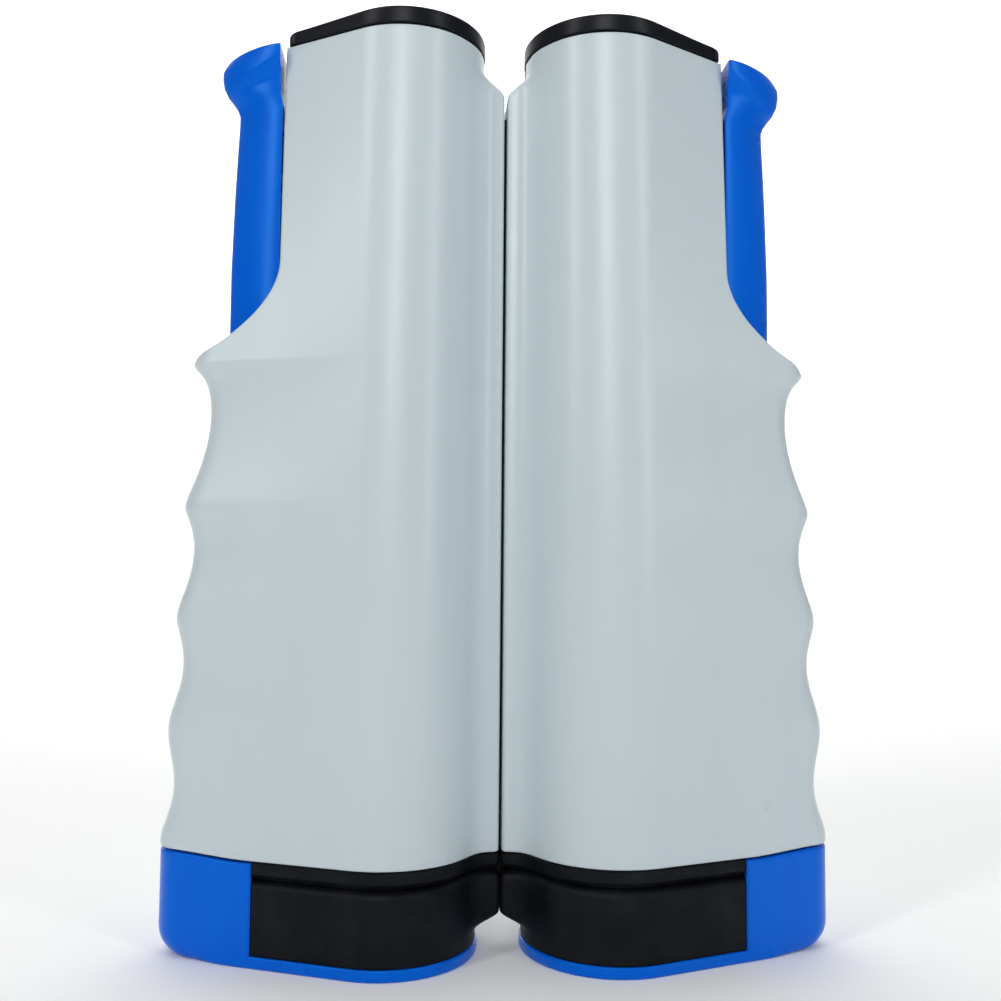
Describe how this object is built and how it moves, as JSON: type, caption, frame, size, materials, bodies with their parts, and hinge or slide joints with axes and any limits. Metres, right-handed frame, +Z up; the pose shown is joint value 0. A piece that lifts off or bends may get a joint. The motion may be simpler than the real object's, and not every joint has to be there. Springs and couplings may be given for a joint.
{
  "type": "table tennis net clamp",
  "caption": "Retractable table tennis net with mirror-image clamp posts closed side by side: grey finger-grip housing, black cap and jaw pads, blue spring lever clamp.",
  "frame": {"origin": "on the floor, midway between the two posts, at the bottom centre of the closed set", "axes": "+Z up along the posts, +X towards the right post as seen from the front, +Y to the back"},
  "size_m": [0.1378, 0.038, 0.19],
  "materials": {
    "housing_grey": "satin moulded ABS, pale blue-grey",
    "lever_blue": "semi-gloss moulded ABS, strong blue",
    "cap_black": "satin black moulded plastic",
    "pad_black": "smooth black grippy elastomer",
    "frame_plastic": "dark grey glass-filled nylon",
    "drum_plastic": "natural extruded plastic tube",
    "bush_nylon": "natural nylon",
    "bright_steel": "bright drawn steel",
    "spring_steel": "oiled spring wire",
    "screw_steel": "zinc-plated",
    "net_fabric": "knotted polyester mesh with a top band"
  },
  "bodies": {
    "left_post": {"left_front_shell": "housing_grey", "left_rear_shell": "housing_grey", "left_top_cap": "cap_black", "left_upper_pad": "pad_black", "left_inner_frame": "frame_plastic", "left_clamp_spring": "spring_steel", "left_spring_rod": "bright_steel", "left_drum_spindle": "bright_steel", "left_drum_spring": "spring_steel", "left_net_lead": "net_fabric", "left_shell_screws": "screw_steel"},
    "left_clamp": {"left_clamp_lever": "lever_blue", "left_jaw_base": "lever_blue", "left_lower_pad": "pad_black", "left_spring_washer": "bright_steel", "left_base_screws": "screw_steel"},
    "left_spool": {"left_net_drum": "drum_plastic", "left_lower_bush": "bush_nylon", "left_upper_bush": "bush_nylon", "left_net_roll": "net_fabric"},
    "right_post": {"right_front_shell": "housing_grey", "right_rear_shell": "housing_grey", "right_top_cap": "cap_black", "right_upper_pad": "pad_black", "right_inner_frame": "frame_plastic", "right_clamp_spring": "spring_steel", "right_spring_rod": "bright_steel", "right_drum_spindle": "bright_steel", "right_drum_spring": "spring_steel", "right_net_lead": "net_fabric", "right_shell_screws": "screw_steel"},
    "right_clamp": {"right_clamp_lever": "lever_blue", "right_jaw_base": "lever_blue", "right_lower_pad": "pad_black", "right_spring_washer": "bright_steel", "right_base_screws": "screw_steel"},
    "right_spool": {"right_net_drum": "drum_plastic", "right_lower_bush": "bush_nylon", "right_upper_bush": "bush_nylon", "right_net_roll": "net_fabric"}
  },
  "joints": [
    {"name": "left_clamp_slide", "type": "slide", "parent": "left_post", "child": "left_clamp", "axis": [0, 0, -1], "range_m": [0, 0.045], "stiffness_N_per_m": 450, "springref_m": -0.04, "deforming": ["left_clamp_spring"]},
    {"name": "right_clamp_slide", "type": "slide", "parent": "right_post", "child": "right_clamp", "axis": [0, 0, -1], "range_m": [0, 0.045], "stiffness_N_per_m": 450, "springref_m": -0.04, "deforming": ["right_clamp_spring"]},
    {"name": "net_pull", "type": "slide", "parent": "left_post", "child": "right_post", "axis": [1, 0, 0], "range_m": [0, 1.7], "stiffness_N_per_m": 3, "springref_m": -1.5},
    {"name": "left_drum_spin", "type": "hinge", "parent": "left_post", "child": "left_spool", "pos_m": [-0.0218, 0, 0.026], "axis": [0, 0, 1], "range_deg": [-4880, 0]},
    {"name": "right_drum_spin", "type": "hinge", "parent": "right_post", "child": "right_spool", "pos_m": [0.0218, 0, 0.026], "axis": [0, 0, 1], "range_deg": [0, 4880]}
  ],
  "couplings": [
    {"joint": "left_drum_spin", "follows": "net_pull", "rad_per_m": -50},
    {"joint": "right_drum_spin", "follows": "net_pull", "rad_per_m": 50}
  ]
}
